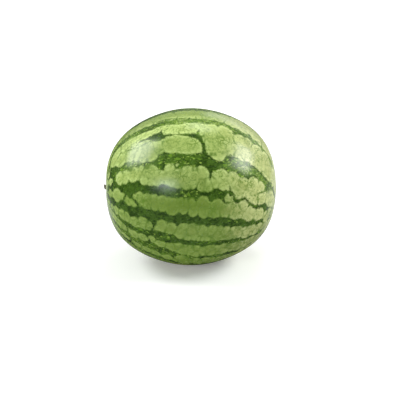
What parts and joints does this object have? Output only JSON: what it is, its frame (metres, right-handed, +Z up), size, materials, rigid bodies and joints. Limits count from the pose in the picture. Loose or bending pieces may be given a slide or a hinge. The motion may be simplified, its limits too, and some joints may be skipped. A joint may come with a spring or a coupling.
{
  "type": "watermelon",
  "caption": "Whole round-oval striped watermelon lying on its side, with a short dry stub of its stem.",
  "frame": {"origin": "on the surface that the fruit rests on, below the middle of the whole object", "axes": "+X along the fruit from the stem end to the blossom end, +Y away from the side shown in the picture, +Z up"},
  "size_m": [0.2418, 0.2208, 0.22],
  "materials": {
    "rind": "waxy, half-gloss green rind with dark and light green stripes",
    "dry_stem": "matt, dry, grey-brown and fibrous"
  },
  "bodies": {
    "root": {"fruit": "rind", "stem_stub": "dry_stem"}
  },
  "joints": []
}
